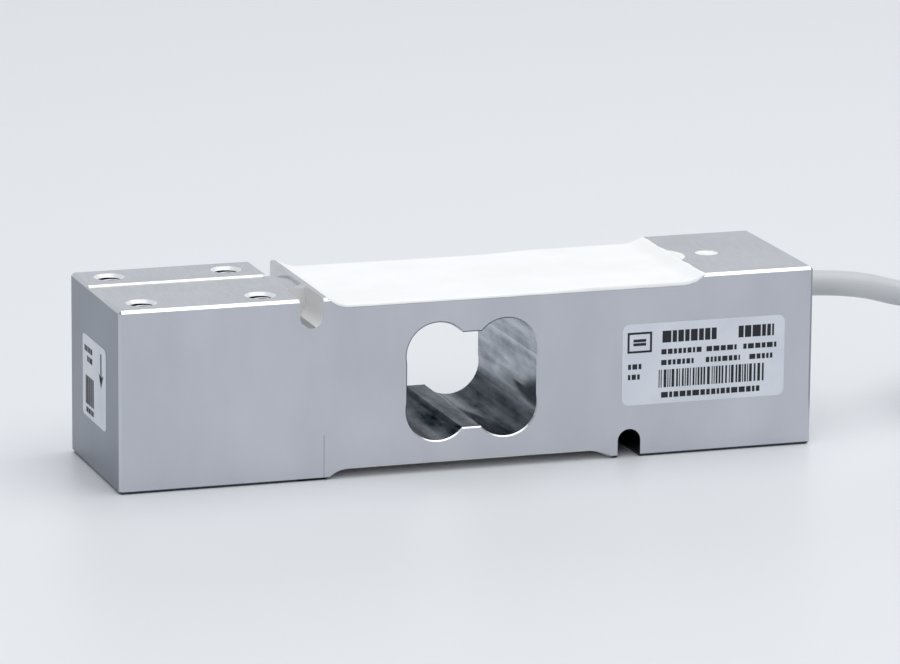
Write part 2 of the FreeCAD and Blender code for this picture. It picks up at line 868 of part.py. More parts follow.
def main():
    os.makedirs("parts", exist_ok=True)
    board = terminal_board()
    resistors = trim_resistors()
    leads = upper_leads()
    links = link_wires()
    jacket = clamped_cable_end()
    conductors = pocket_conductors(jacket)
    strands = conductor_strands(conductors)
    upper_gauges = {"load": gauge(-lobe_spacing / 2), "mount": gauge(lobe_spacing / 2)}
    lower_gauges = {"load": turned_over(upper_gauges["mount"]), "mount": turned_over(upper_gauges["load"])}
    strip = terminal_strip()
    under_leads = lower_leads()
    upper_parts = [board, *resistors, *leads, *links, *strands, *upper_gauges.values()]
    lower_parts = [strip, *under_leads, *links, *lower_gauges.values()]

    save("measuring_body", [measuring_body()])
    for place in ("load", "mount"):
        save(f"upper_gauge_{place}_end", [upper_gauges[place]])
        save(f"lower_gauge_{place}_end", [lower_gauges[place]])
    save("terminal_board", [board])
    save("trim_resistors", resistors)
    save("terminal_strip", [strip])
    save("upper_gauge_leads", leads)
    save("lower_gauge_leads", under_leads)
    save("link_wires", links)
    save("pocket_conductors", conductors)
    save("conductor_strands", strands)
    save("upper_coating", [upper_coating(upper_parts)])
    save("lower_coating", [lower_coating(lower_parts)])
    save("pocket_potting", [pocket_potting([jacket, *conductors, *strands])])
    save("clamped_cable_end", [jacket])
    save("cable_bore_seal", [bore_seal()])
    save("clamp_screw", [clamp_screw()])
    save("clamp_screw_seal", [clamp_screw_seal()])
    save("rating_label", [rating_label()])
    save("load_direction_label", [load_direction_label()])

    lead = tube(cable_route, cable_diameter)
    hank = cable_hank()
    tail = tube(tail_route, cable_diameter)
    report_route("cable_lead", cable_route, cable_diameter, lead)
    report_route("cable_tail", tail_route, cable_diameter, tail)
    save("cable_lead", [lead.cut(hank)])
    save("cable_hank", [hank])
    save("cable_tail", [tail.cut(hank)])
    save("hank_tie_near", [hank_tie(-1)])
    save("hank_tie_far", [hank_tie(1)])
    save("jacket_end_sleeve", [end_sleeve()])
    save("free_conductors", free_conductors(tail))
    save("conductor_ferrules", ferrules())
    save("shield_pigtail", [shield_pigtail(tail)])


main()
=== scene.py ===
import math
import random
import bmesh
import bpy
from mathutils import Matrix, Vector, noise


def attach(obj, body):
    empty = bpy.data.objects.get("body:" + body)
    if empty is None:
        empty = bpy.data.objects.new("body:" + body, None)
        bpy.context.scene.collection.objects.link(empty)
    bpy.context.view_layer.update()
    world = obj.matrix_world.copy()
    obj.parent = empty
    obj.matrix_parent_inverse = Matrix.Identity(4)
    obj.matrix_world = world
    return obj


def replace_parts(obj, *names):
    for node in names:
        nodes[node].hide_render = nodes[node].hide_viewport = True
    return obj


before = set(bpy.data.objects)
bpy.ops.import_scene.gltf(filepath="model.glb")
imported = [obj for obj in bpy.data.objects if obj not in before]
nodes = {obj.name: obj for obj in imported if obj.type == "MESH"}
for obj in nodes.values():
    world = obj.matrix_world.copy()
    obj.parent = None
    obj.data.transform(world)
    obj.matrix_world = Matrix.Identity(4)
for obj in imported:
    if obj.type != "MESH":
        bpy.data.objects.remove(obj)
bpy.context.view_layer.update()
scene = bpy.context.scene
print("frame loaded")


def metres(*values):
    return tuple(value / 1000 for value in values)


def addObject(name, data):
    added = bpy.data.objects.new(name, data)
    scene.collection.objects.link(added)
    return added


# camera

cameraFacts = {
    "place": (-371.2, -1115.4, 299.6),  # mm
    "azimuth": 18.474,  # degrees from +Y towards +X
    "elevation": 13.159,  # how far it looks down
    "roll": 0.502,
    "lens": 232.0,
    "sensor": 36.0,
    "clip": (0.05, 50),  # metres
}


def makeCamera(facts):
    data = bpy.data.cameras.new("camera")
    data.lens = facts["lens"]
    data.sensor_width = facts["sensor"]
    data.clip_start, data.clip_end = facts["clip"]
    camera = addObject("camera", data)
    azimuth = Matrix.Rotation(math.radians(-facts["azimuth"]), 4, "Z")
    elevation = Matrix.Rotation(math.radians(90 - facts["elevation"]), 4, "X")
    roll = Matrix.Rotation(math.radians(facts["roll"]), 4, "Z")
    camera.matrix_world = Matrix.Translation(metres(*facts["place"])) @ azimuth @ elevation @ roll
    scene.camera = camera


makeCamera(cameraFacts)


# materials


def colour(code):
    # sRGB hex to linear
    parts = [int(code[i:i + 2], 16) / 255 for i in (1, 3, 5)]
    linear = [part / 12.92 if part < 0.04045 else ((part + 0.055) / 1.055) ** 2.4 for part in parts]
    return (*linear, 1.0)


def setNode(tree, node, settings):
    # a setting is a property, or an input's number, hex colour or the socket linked to it
    for name, value in settings.items():
        if isinstance(value, str) and value.startswith("#"):
            value = colour(value)
        if isinstance(value, bpy.types.NodeSocket):
            tree.links.new(value, node.inputs[name])
        elif isinstance(name, int) or name in node.inputs:
            node.inputs[name].default_value = value
        else:
            setattr(node, name, value)
    return node


def addNode(tree, kind, settings=None):
    return setNode(tree, tree.nodes.new(kind), settings or {})


def startMaterial(name, settings):
    material = bpy.data.materials.new(name)
    material.use_nodes = True
    tree = material.node_tree
    return material, tree, setNode(tree, tree.nodes["Principled BSDF"], settings)


def objectPlace(tree, stretch=(1, 1, 1)):
    # place on the piece in millimetres, with a stretch for each axis
    place = addNode(tree, "ShaderNodeTexCoord").outputs["Object"]
    scale = [1000 * value for value in stretch]
    return addNode(tree, "ShaderNodeMapping", {"Scale": scale, "Vector": place}).outputs["Vector"]


def unevenness(tree, layers, low, high):
    # layers of noise, added up by weight, of which the part from low to high is spread over 0 to 1
    total = 0.0
    for stretch, scale, detail, roughness, weight in layers:
        place = objectPlace(tree, stretch)
        layer = {"Vector": place, "Scale": scale, "Detail": detail, "Roughness": roughness}
        layer = addNode(tree, "ShaderNodeTexNoise", layer).outputs["Fac"]
        total = {"operation": "MULTIPLY_ADD", 0: layer, 1: weight, 2: total}
        total = addNode(tree, "ShaderNodeMath", total).outputs[0]
    limits = {"Value": total, "From Min": low, "From Max": high}
    return addNode(tree, "ShaderNodeMapRange", limits).outputs[0]


beamFinish = {
    "base": {
        "Base Color": "#CFD2D8",
        "Specular Tint": "#FFFFFF",
        "Metallic": 1.0,
        "Roughness": 0.3,
    },
    "regions": {  # parts of the bar that zones share, with the tests that all hold there
        "inSlots": [("farX", ">", 31.6), ("farX", "<", 37.4), ("farY", "<", 19.0)],
        "inHoles": [("hole", "<", 3.6), ("steepZ", "<", 0.93)],
        "onSides": [("steepY", ">", 0.93), ("farY", ">", 19.0)],
        "inWindow": [("z", ">", 5.8), ("z", "<", 32.3), ("farX", "<", 14.6), ("farY", "<", 18.8)],
    },
    "zones": [  # tests that all hold there, and the finish, which lies over those before it
        # cuts that face up: painted highlight, near white
        (["rise"], {"Base Color": "#EDEDEB"}),
        # cuts at the ends: the pads' shade instead of that painted highlight
        ([("normalZ", ">", 0.3), ("steepX", ">", 0.5)], {"Base Color": "#C0C1C1"}),
        # cuts that face the ground, near the floor: painted shade
        ([("normalZ", "<", -0.3), ("z", "<", 3.0)], {"Base Color": "#59616C"}),
        # lower slot: painted shade, near black
        (["inSlots", ("z", "<", 20.0)], {"Base Color": "#2A2D31"}),
        # bores and the undersides of the thread ridges: painted shade
        (["inHoles", ("normalZ", "<", 0.2)], {"Base Color": "#2A2D31"}),
        # upper slot: painted light, near white and barely metallic
        (
            ["inSlots", ("z", ">", 20.0), ("steepZ", "<", 0.93)],
            {"Base Color": "#E3E3E1", "Metallic": 0.15},
        ),
        # mouths of the holes and the tops of the thread ridges: painted light, near white and
        # barely metallic
        (["inHoles", ("normalZ", ">", 0.2)], {"Base Color": "#F0F0EE", "Metallic": 0.15}),
        # edges of the channel: painted highlight, near white and barely metallic
        (
            [("farY", "<", 6.6), ("z", ">", 37.55), ("steepZ", "<", 0.93), ("normalZ", "<", 0.3)],
            {"Base Color": "#F0F0EE", "Metallic": 0.15},
        ),
        # pads and other level faces
        (
            [("steepZ", ">", 0.93)],
            {"Base Color": ("#C0C1C1", "#B3B5B6", "grain"), "Height": "lines"},
        ),
        # long sides
        (["onSides"], {"Base Color": ("#CFD2D8", "#C8CBD2", "clouds"), "Roughness": 0.36}),
        # seam between two passes of the side mill
        (["onSides", ("seam", "<", 0.09), ("z", "<", 9.5)], {"Base Color": "#A3A7AD"}),
        # load end: painted shade, darker than the long sides
        (
            [("normalX", "<", -0.93), ("farX", ">", 74.95)],
            {"Base Color": "#888E97", "Roughness": 0.36},
        ),
        # walls of the window: shiny, with streaks that are partly the cutter's smears and partly
        # painted reflection bands
        (
            ["inWindow"],
            {"Base Color": ("#B4BBC4", "#525A64", "streaks"), "Roughness": 0.17, "Height": "drag"},
        ),
        # walls of the window that face up, which are seen at a low angle: painted shade, in the
        # base colour and in the specular tint
        (
            ["inWindow", "upward"],
            {
                "Base Color": ("#3A3F44", "#0B0D0E", "streaks"),
                "Specular Tint": ("#EDF0F2", "#B4B8BC", "streaks"),
            },
        ),
    ],
    "patterns": {
        # layers of stretch on X, Y and Z, scale, detail, roughness and weight, and the part of
        # their sum that is used
        "clouds": ([((1, 1, 0.5), 0.06, 4.0, 0.55, 1.0)], 0.35, 0.65),
        "grain": ([((1, 0.1, 1), 2.2, 3.0, 0.6, 1.0)], 0.3, 0.7),
        "drag": ([((1, 0.03, 1), 0.5, 4.0, 0.6, 1.0)], 0.0, 1.0),
        "fine": ([((1, 0.35, 1), 3.0, 2.0, 0.5, 1.0)], 0.0, 1.0),
        "streaks": (
            [((1, 0.05, 1), 0.4, 4.0, 0.55, 0.35), ((1, 0.28, 1), 0.2, 6.0, 0.62, 0.65)],
            0.38, 0.62,
        ),
    },
    "roughnessWander": 0.022,
    "holeAxis": (56.0, 12.5, 12.5),  # the pad's middle on X, and a hole's place from it on X and Y
    "seamX": -31.8,
    # rise is where the painted highlight on the cuts that face up starts, and upward where the
    # painted shade on the window's walls that face up starts
    "slopes": {"rise": (0.1, 0.3), "upward": (0.0, 0.45)},  # of the normal's Z
    "lineSpacing": 0.5,  # mm, twice as coarse as they are so that they show
    "lineDepth": 0.0045,  # mm, three times as deep as they are
    "lineStrength": 0.8,
    "lineWobble": 0.6,
    "ringMiddle": (-90, -12, 0),  # of the arcs that the face mill leaves
}


def beamMeasures(tree, finish):
    # what the tests read: place in mm, how far it is from the middle, and which way the face looks
    at = addNode(tree, "ShaderNodeSeparateXYZ", {"Vector": objectPlace(tree)}).outputs
    normal = addNode(tree, "ShaderNodeNewGeometry").outputs["Normal"]
    facing = addNode(tree, "ShaderNodeSeparateXYZ", {"Vector": normal}).outputs
    measures = {"z": at["Z"], "normalX": facing["X"], "normalZ": facing["Z"]}
    padMiddle, holeX, holeY = finish["holeAxis"]
    distances = {
        "seam": (at["X"], finish["seamX"]),
        "farX": (at["X"], 0.0),
        "farY": (at["Y"], 0.0),
        "steepX": (facing["X"], 0.0),
        "steepY": (facing["Y"], 0.0),
        "steepZ": (facing["Z"], 0.0),
    }
    for name, (value, middle) in distances.items():
        away = {"operation": "SUBTRACT", 0: value, 1: middle}
        away = {"operation": "ABSOLUTE", 0: addNode(tree, "ShaderNodeMath", away).outputs[0]}
        measures[name] = addNode(tree, "ShaderNodeMath", away).outputs[0]

    # from the axis of the nearest hole
    away = {"operation": "SUBTRACT", 0: measures["farX"], 1: padMiddle}
    away = addNode(tree, "ShaderNodeMath", away).outputs[0]
    spot = addNode(tree, "ShaderNodeCombineXYZ", {"X": away, "Y": measures["farY"]}).outputs[0]
    spot = addNode(tree, "ShaderNodeVectorMath", {"operation": "ABSOLUTE", 0: spot}).outputs[0]
    toHole = {"operation": "DISTANCE", 0: spot, 1: (holeX, holeY, 0)}
    measures["hole"] = addNode(tree, "ShaderNodeVectorMath", toHole).outputs["Value"]

    for name, (low, high) in finish["slopes"].items():
        slope = {"Value": facing["Z"], "From Min": low, "From Max": high}
        measures[name] = addNode(tree, "ShaderNodeMapRange", slope).outputs[0]
    for name, tests in finish["regions"].items():
        measures[name] = zoneShare(tree, measures, tests)
    return measures


def zoneShare(tree, measures, tests):
    # 1 where all tests hold and 0 elsewhere; a measure's name alone stands for the measure itself
    share = 1.0
    for test in tests:
        if isinstance(test, str):
            held = measures[test]
        else:
            measure, sign, limit = test
            operation = "GREATER_THAN" if sign == ">" else "LESS_THAN"
            held = {"operation": operation, 0: measures[measure], 1: limit}
            held = addNode(tree, "ShaderNodeMath", held).outputs[0]
        share = {"operation": "MULTIPLY", 0: share, 1: held}
        share = addNode(tree, "ShaderNodeMath", share).outputs[0]
    return share


def milledAluminium(finish):
    # EN AW-2024, milled: satin on the large faces, with fine lines on the pads; painted highlights
    # on the cuts that face up and the channel's edges, painted light in the upper slot and the
    # holes' mouths, painted shade in the lower slot, the bores, the cuts that face the ground, the
    # load end and the window's walls that face up, and shiny window walls with streaks that are
    # partly smears and partly painted reflections
    material, tree, shader = startMaterial("milledAluminium", finish["base"])
    measures = beamMeasures(tree, finish)
    patterns = {name: unevenness(tree, *facts) for name, facts in finish["patterns"].items()}
    shift = [-value for value in finish["ringMiddle"]]
    arcPlace = {"Location": shift, "Vector": objectPlace(tree)}
    arcPlace = addNode(tree, "ShaderNodeMapping", arcPlace).outputs["Vector"]
    arcs = {
        "wave_type": "RINGS",
        "rings_direction": "Z",
        "Vector": arcPlace,
        "Scale": 0.314 / finish["lineSpacing"],  # at a scale of 1 the rings lie 0.314 mm apart
        "Distortion": finish["lineWobble"],
        "Detail": 2.0,
    }
    patterns["lines"] = addNode(tree, "ShaderNodeTexWave", arcs).outputs["Fac"]

    laid = {**finish["base"], "Height": patterns["fine"]}
    for tests, zone in finish["zones"]:
        share = zoneShare(tree, measures, tests)
        for goal, own in zone.items():
            if isinstance(own, tuple):
                first, second, pattern = own
                own = {"data_type": "RGBA", 0: patterns[pattern], 6: first, 7: second}
                own = addNode(tree, "ShaderNodeMix", own).outputs[2]
            # 6 and 7 are a Mix node's colours, and 2 and 3 its numbers
            if goal in ("Base Color", "Specular Tint"):
                mix = {"data_type": "RGBA", 0: share, 6: laid[goal], 7: own}
                laid[goal] = addNode(tree, "ShaderNodeMix", mix).outputs[2]
            else:
                mix = {"data_type": "FLOAT", 0: share, 2: laid[goal], 3: patterns.get(own, own)}
                laid[goal] = addNode(tree, "ShaderNodeMix", mix).outputs[0]

    wander = finish["roughnessWander"]
    wander = {"Value": patterns["clouds"], "To Min": -wander, "To Max": wander}
    wander = addNode(tree, "ShaderNodeMapRange", wander).outputs[0]
    rough = {"operation": "ADD", 0: laid["Roughness"], 1: wander}
    laid["Roughness"] = addNode(tree, "ShaderNodeMath", rough).outputs[0]
    bump = {
        "Strength": finish["lineStrength"],
        "Distance": finish["lineDepth"] / 1000,
        "Height": laid.pop("Height"),
    }
    laid["Normal"] = addNode(tree, "ShaderNodeBump", bump).outputs[0]
    setNode(tree, shader, laid)
    return material


def plainFinish(name, shade, shadeTwo, roughness, patchSize, metallic, bumpDepth, bumpSize):
    # a moulded, cast or printed surface: slight clouds of a second shade and a fine unevenness
    base = {"Base Color": shade, "Metallic": metallic, "Roughness": roughness}
    material, tree, shader = startMaterial(name, base)
    clouds = unevenness(tree, [((1, 1, 1), 1 / patchSize, 3.0, 0.55, 1.0)], 0.35, 0.65)
    bumps = unevenness(tree, [((1, 1, 1), 1 / bumpSize, 3.0, 0.5, 1.0)], 0.0, 1.0)
    shades = {"data_type": "RGBA", 0: clouds, 6: shade, 7: shadeTwo}
    wander = 0.03
    rough = {"Value": clouds, "To Min": roughness - wander, "To Max": roughness + wander}
    bump = {"Distance": bumpDepth / 1000, "Height": bumps}
    laid = {
        "Base Color": addNode(tree, "ShaderNodeMix", shades).outputs[2],
        "Roughness": addNode(tree, "ShaderNodeMapRange", rough).outputs[0],
        "Normal": addNode(tree, "ShaderNodeBump", bump).outputs[0],
    }
    setNode(tree, shader, laid)
    return material


finishFacts = {
    # two shades, roughness, size of the clouds, metallic, and depth and size of the bumps; in mm
    # silicone rubber, poured and cured: near white and smooth, with a soft sheen
    "pouredSilicone": ("#F8F8F6", "#F3F3F0", 0.45, 14.0, 0.0, 0.02, 9.0),
    # filled epoxy, cast: dull and slightly grainy
    "castEpoxy": ("#F6F6F2", "#EEEEE9", 0.5, 2.0, 0.0, 0.02, 0.4),
    # PVC, extruded: light grey, satin, faint dust
    "extrudedPvc": ("#C9CBCC", "#C0C3C5", 0.42, 12.0, 0.0, 0.015, 0.9),
    # PVC, extruded thin: glossy, with a faint bloom
    "insulationWhite": ("#E8E8E4", "#E1E1DC", 0.33, 2.0, 0.0, 0.006, 0.3),
    "insulationBlack": ("#1B1B1D", "#222225", 0.33, 2.0, 0.0, 0.006, 0.3),
    "insulationRed": ("#B3201C", "#A81C18", 0.33, 2.0, 0.0, 0.006, 0.3),
    "insulationBlue": ("#1F4E9E", "#1B4892", 0.33, 2.0, 0.0, 0.006, 0.3),
    # polyester film, coated for print: pale and smooth with a slight orange peel
    "polyesterFilm": ("#DCE0E6", "#D3D8DF", 0.34, 7.0, 0.0, 0.006, 0.8),
    # resin ribbon, printed: near black and matt
    "printedInk": ("#12151B", "#1B1E26", 0.62, 1.2, 0.0, 0.003, 0.3),
    # polyamide 6.6, moulded: waxy off-white
    "mouldedNylon": ("#E9E7DC", "#E0DED1", 0.4, 3.0, 0.0, 0.008, 0.5),
    # polyolefin, shrunk on: black, slightly wrinkled
    "shrunkPolyolefin": ("#1C1C1F", "#26262A", 0.46, 2.0, 0.0, 0.05, 0.8),
    # silicone rubber, cast: near white, with a soft gloss
    "castSeal": ("#F2F2EF", "#E9E9E5", 0.38, 1.5, 0.0, 0.02, 0.5),
    # stainless steel, turned: mid grey, with fine rings
    "turnedSteel": ("#9A9B9E", "#86878A", 0.3, 0.8, 1.0, 0.006, 0.2),
    # copper, tinned: grey, softly bright
    "tinnedCopper": ("#B9B7B2", "#A5A29B", 0.3, 0.7, 1.0, 0.01, 0.15),
    # copper, enamelled: warm brown and glossy
    "enamelledCopper": ("#B5714A", "#A3603B", 0.25, 0.9, 1.0, 0.003, 0.2),
    # polyimide film, etched: amber, smooth
    "polyimideFoil": ("#B9853A", "#8F6222", 0.3, 0.9, 0.0, 0.004, 0.3),
    # polyimide laminate, coated: brown amber
    "polyimideLaminate": ("#9A6B26", "#7F551A", 0.35, 1.6, 0.0, 0.006, 0.4),
    # alumina, glazed black: dark and smooth
    "glazedCeramic": ("#2E2E31", "#3A3A3E", 0.3, 0.8, 0.0, 0.006, 0.25),
}
finishes = {"milledAluminium": milledAluminium(beamFinish)}
for name, facts in finishFacts.items():
    finishes[name] = plainFinish(name, *facts)

nodeFinishes = {
    "milledAluminium": ["measuring_body"],
    "polyimideFoil": [
        "upper_gauge_load_end", "upper_gauge_mount_end",
        "lower_gauge_load_end", "lower_gauge_mount_end",
    ],
    "polyimideLaminate": ["terminal_board", "terminal_strip"],
    "glazedCeramic": ["trim_resistors"],
    "enamelledCopper": ["upper_gauge_leads", "lower_gauge_leads", "link_wires"],
    "insulationRed": ["pocket_conductors"],
    "tinnedCopper": ["conductor_strands"],
    "castEpoxy": ["pocket_potting"],
    "extrudedPvc": ["clamped_cable_end"],
    "castSeal": ["cable_bore_seal"],
    "turnedSteel": ["clamp_screw"],
}
for finish, owners in nodeFinishes.items():
    for name in owners:
        nodes[name].data.materials[0] = finishes[finish]
print("materials made")


def linkPiece(name, data, finish):
    piece = addObject(name, data)
    data.materials.clear()
    data.materials.append(finishes[finish])
    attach(piece, "root")
    return piece


def solidMesh(name, points, faces, sharpAngle):
    # a closed mesh from points in millimetres, with its faces turned outwards
    data = bpy.data.meshes.new(name)
    data.from_pydata([metres(*point) for point in points], [], faces)
    work = bmesh.new()
    work.from_mesh(data)
    bmesh.ops.remove_doubles(work, verts=work.verts, dist=1e-7)
    bmesh.ops.recalc_face_normals(work, faces=work.faces)
    work.to_mesh(data)
    work.free()
    data.shade_smooth()
    data.set_sharp_from_angle(angle=math.radians(sharpAngle))
    return data


def skin(rings, closed=False):
    # points and faces of a skin over rings of equal size, capped unless it closes on itself
    size = len(rings[0])
    points = [point for ring in rings for point in ring]
    faces = []
    spans = len(rings) if closed else len(rings) - 1
    for i in range(spans):
        here, there = i * size, (i + 1) % len(rings) * size
        for k in range(size):
            m = (k + 1) % size
            faces.append((here + k, here + m, there + m, there + k))
    if not closed:
        faces.append(tuple(range(size - 1, -1, -1)))
        faces.append(tuple(range(len(points) - size, len(points))))
    return points, faces


# cable

cableFacts = {
    "diameter": 5.4,  # mm
    "length": 3000.0,
    "leadPoints": [
        (75.0, 0.0, 30.25),
        (90.5, 0.0, 30.25),
        (106.2, 0.0, 25.2),
        (124.0, 3.2, 25.3),
        (146.0, 11.6, 25.3),
        (168.0, 16.2, 25.3),
    ],
    "tailPoints": [
        (152.0, 16.2, 3.7),
        (174.0, 11.8, 3.4),
        (196.5, 4.6, 3.3),
        (216.0, 2.6, 3.3),
    ],
    "nearFold": 134.3,  # the folds' axes on X
    "farFold": 250.3,
    "innerRadius": 16.2,
    "lowest": 3.7,  # the middle of the lowest layer
    "layers": 4,
    "start": 0.096,  # turns after the near fold's end on the +Y side
    "end": 8.05,
    "firstCrossing": 0.817,  # where the first change of place ends, in turns
    "crossing": 0.074,  # how long such a change is
    "foldPoints": 6,
    "sidePoints": 4,
    "resolution": 6,
    "roundness": 5,
}


def hankPlaces(facts):
    # turn by turn: beside, under, beside, under, as (radius, height)
    inner = facts["innerRadius"]
    outer = inner + facts["diameter"]
    places = [(inner, facts["lowest"] + facts["layers"] * facts["diameter"])]
    for layer in range(facts["layers"] - 1, -1, -1):
        height = facts["lowest"] + layer * facts["diameter"]
        pair = [(inner, height), (outer, height)]
        places += pair if layer % 2 else pair[::-1]
    return places


def placeAt(facts, places, turns):
    # radius and height of the cable so many turns after the first fold
    radius, height = places[0]
    for number, (nextRadius, nextHeight) in enumerate(places[1:]):
        end = facts["firstCrossing"] + number * (1 - facts["crossing"])
        share = min(max((turns - end) / facts["crossing"] + 1, 0), 1)
        radius += (nextRadius - radius) * share
        height += (nextHeight - height) * share
    return radius, height


def hankPoints(facts):
    near, far = facts["nearFold"], facts["farFold"]
    side = far - near
    meanRadius = facts["innerRadius"] + facts["diameter"] / 2
    around = 2 * side + 2 * math.pi * meanRadius
    sideShare = side / around
    foldShare = 0.5 - sideShare
    places = hankPlaces(facts)
    stations = []
    for half in ((0, 1, near, far), (0.5, -1, far, near)):
        for kind in ("side", "fold"):
            count = facts[kind + "Points"]
            stations += [(*half, kind, (k + 0.5) / count) for k in range(count)]
    swell = 1 / math.cos(math.pi / facts["foldPoints"] / 2)  # corners lie outside the round line
    points = []
    for turn in range(math.ceil(facts["end"])):
        for begun, sign, start, end, kind, share in stations:
            turns = turn + begun
            turns += share * sideShare if kind == "side" else sideShare + share * foldShare
            if not facts["start"] < turns < facts["end"]:
                continue
            radius, height = placeAt(facts, places, turns)
            radius *= sign
            if kind == "side":
                points.append((start + (end - start) * share, radius, height))
            else:
                angle = math.pi * share
                radius *= swell
                points.append((end + radius * math.sin(angle), radius * math.cos(angle), height))
    return points


def smoothCurve(name, points, diameter, resolution, roundness):
    data = bpy.data.curves.new(name, "CURVE")
    data.dimensions = "3D"
    spline = data.splines.new("NURBS")
    spline.points.add(len(points) - 1)
    for target, point in zip(spline.points, points):
        target.co = (*metres(*point), 1)
    spline.order_u = 3
    spline.use_endpoint_u = True
    spline.resolution_u = resolution
    data.bevel_depth = diameter / 2000
    data.bevel_resolution = roundness
    data.use_fill_caps = True
    return data


def makeCable(facts):
    points = facts["leadPoints"] + hankPoints(facts) + facts["tailPoints"]
    data = smoothCurve("cable", points, facts["diameter"], facts["resolution"], facts["roundness"])
    return linkPiece("cable", data, "extrudedPvc")


cable = makeCable(cableFacts)
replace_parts(cable, "cable_lead", "cable_hank", "cable_tail")
print("cable laid")


# ties round the hank

tieFacts = {
    "width": 4.8,
    "thickness": 0.95,
    "gap": 0.05,
    "corner": 1.6,
    "cornerSteps": 5,
    "rim": 0.25,  # of the band's rounded edges
    "head": (7.0, 5.2, 4.4),
    "headRoot": 0.2,  # how deep the head stands in the band
    "headBevel": 0.5,
    "stub": (2.9, 3.4, 0.85),  # width, length and thickness of the cut tail
    "stubOut": 0.6,  # how far it stands out of the head
    "stubBevel": 0.15,
    "middle": 192.3,  # on X
    "inner": 13.5,  # sides of the bundle of turns inside the band, on Y
    "outer": 24.3,
    "lap": 18.9,
    "lowest": 1.0,  # and its heights
    "ringTop": 22.6,
    "lapTop": 28.0,
}


def roundedLoop(corners, radius, steps):
    # a closed outline with every corner rounded
    loop = []
    count = len(corners)
    for number, corner in enumerate(corners):
        here = Vector(corner)
        before = (Vector(corners[number - 1]) - here).normalized()
        after = (Vector(corners[(number + 1) % count]) - here).normalized()
        half = before.angle(after) / 2
        reach = radius / math.tan(half)
        centre = here + (before + after).normalized() * (radius / math.sin(half))
        start = here + before * reach - centre
        end = here + after * reach - centre
        for step in range(steps + 1):
            share = step / steps
            arm = start.lerp(end, share).normalized() * radius
            loop.append(tuple(centre + arm))
    return loop


def outwardNormals(loop):
    normals = []
    for number in range(len(loop)):
        after = Vector(loop[(number + 1) % len(loop)])
        along = (after - Vector(loop[number - 1])).normalized()
        normals.append(Vector((along.y, -along.x)))
    return normals


def tieBand(facts, side):
    # the band's section is carried round the rounded outline of the hank's side
    gap = facts["gap"]
    corners = [
        (facts["inner"] - gap, facts["lowest"] - gap),
        (facts["outer"] + gap, facts["lowest"] - gap),
        (facts["outer"] + gap, facts["ringTop"] + gap),
        (facts["lap"] + gap, facts["lapTop"] + gap),
        (facts["inner"] - gap, facts["lapTop"] + gap),
    ]
    loop = roundedLoop(corners, facts["corner"], facts["cornerSteps"])
    normals = outwardNormals(loop)
    half, rim, depth = facts["width"] / 2, facts["rim"], facts["thickness"]
    section = [
        (-half, 0), (half, 0), (half, depth - rim),
        (half - rim, depth), (-half + rim, depth), (-half, depth - rim),
    ]
    rings = []
    for (y, z), normal in zip(loop, normals):
        rings.append([
            (facts["middle"] + across, side * (y + normal.x * out), z + normal.y * out)
            for across, out in section
        ])
    return skin(rings, closed=True)


def bevelledBlock(low, high, bevel):
    # a block with small bevels on its long edges and ends
    (x0, y0, z0), (x1, y1, z1) = low, high
    rings = []
    for z, inset in ((z0, bevel), (z0 + bevel, 0), (z1 - bevel, 0), (z1, bevel)):
        a, b, c, d = x0 + inset, x1 - inset, y0 + inset, y1 - inset
        rings.append([
            (a + bevel, c, z), (b - bevel, c, z), (b, c + bevel, z), (b, d - bevel, z),
            (b - bevel, d, z), (a + bevel, d, z), (a, d - bevel, z), (a, c + bevel, z),
        ])
    return skin(rings)


def joinParts(parts):
    points, faces = [], []
    for partPoints, partFaces in parts:
        offset = len(points)
        points += partPoints
        faces += [tuple(index + offset for index in face) for face in partFaces]
    return points, faces


def makeTie(facts, name, side, node):
    x = facts["middle"]
    y = side * (facts["inner"] + facts["lap"]) / 2
    seat = facts["lapTop"] + facts["gap"] + facts["thickness"] - facts["headRoot"]
    long, wide, high = facts["head"]
    top = seat + high
    low, high = (x - long / 2, y - wide / 2, seat), (x + long / 2, y + wide / 2, top)
    head = bevelledBlock(low, high, facts["headBevel"])
    wide, long, thick = facts["stub"]
    top += facts["stubOut"]
    low, high = (x - wide / 2, y - thick / 2, top - long), (x + wide / 2, y + thick / 2, top)
    stub = bevelledBlock(low, high, facts["stubBevel"])
    data = solidMesh(name, *joinParts([tieBand(facts, side), head, stub]), sharpAngle=50)
    piece = linkPiece(name, data, "mouldedNylon")
    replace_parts(piece, node)
    return piece


ties = [
    makeTie(tieFacts, "nearTie", -1, "hank_tie_near"),
    makeTie(tieFacts, "farTie", 1, "hank_tie_far"),
]
print("ties closed")


# the cable's free end

